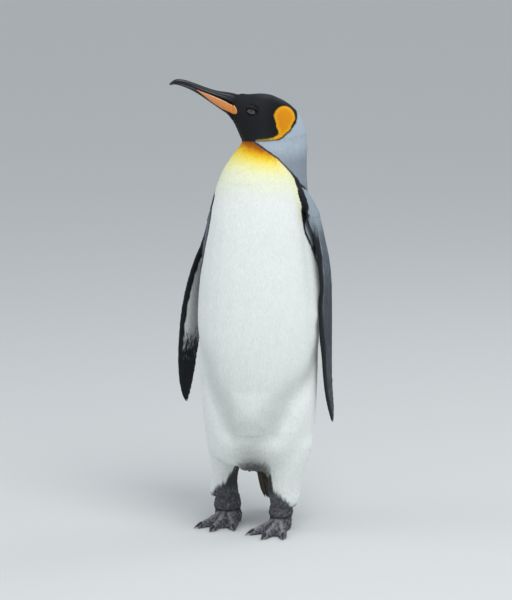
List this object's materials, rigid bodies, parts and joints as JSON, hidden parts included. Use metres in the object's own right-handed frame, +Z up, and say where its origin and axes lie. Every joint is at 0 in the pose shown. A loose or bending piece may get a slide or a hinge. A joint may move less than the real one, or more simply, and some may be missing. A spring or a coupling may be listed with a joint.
{
  "type": "king penguin",
  "caption": "Life-size still model of a standing king penguin, its head turned to one side over a flat-footed stance on the floor.",
  "frame": {"origin": "on the floor, under the middle of the whole bird's bounding box", "axes": "+Z up; the body faces -Y, so the bird's own left is +X, and the head looks towards -X"},
  "size_m": [0.3188, 0.2868, 0.9023],
  "materials": {
    "feather_black": "matte",
    "feather_grey": "matte",
    "feather_white": "matte",
    "foot_skin": "matte",
    "eye": "gloss",
    "horn_black": "satin",
    "horn_orange": "satin",
    "claw": "satin"
  },
  "bodies": {
    "root": {"head": "feather_black", "neck": "feather_grey", "trunk": "feather_white", "tail": "feather_black", "flipper_left": "feather_grey", "flipper_right": "feather_grey", "leg_left": "feather_white", "leg_right": "feather_white", "foot_left": "foot_skin", "foot_right": "foot_skin", "eye_left": "eye", "eye_right": "eye", "bill_upper": "horn_black", "bill_lower": "horn_black", "bill_plate_left": "horn_orange", "bill_plate_right": "horn_orange", "claw_left_inner": "claw", "claw_left_middle": "claw", "claw_left_outer": "claw", "claw_right_inner": "claw", "claw_right_middle": "claw", "claw_right_outer": "claw"}
  },
  "joints": []
}
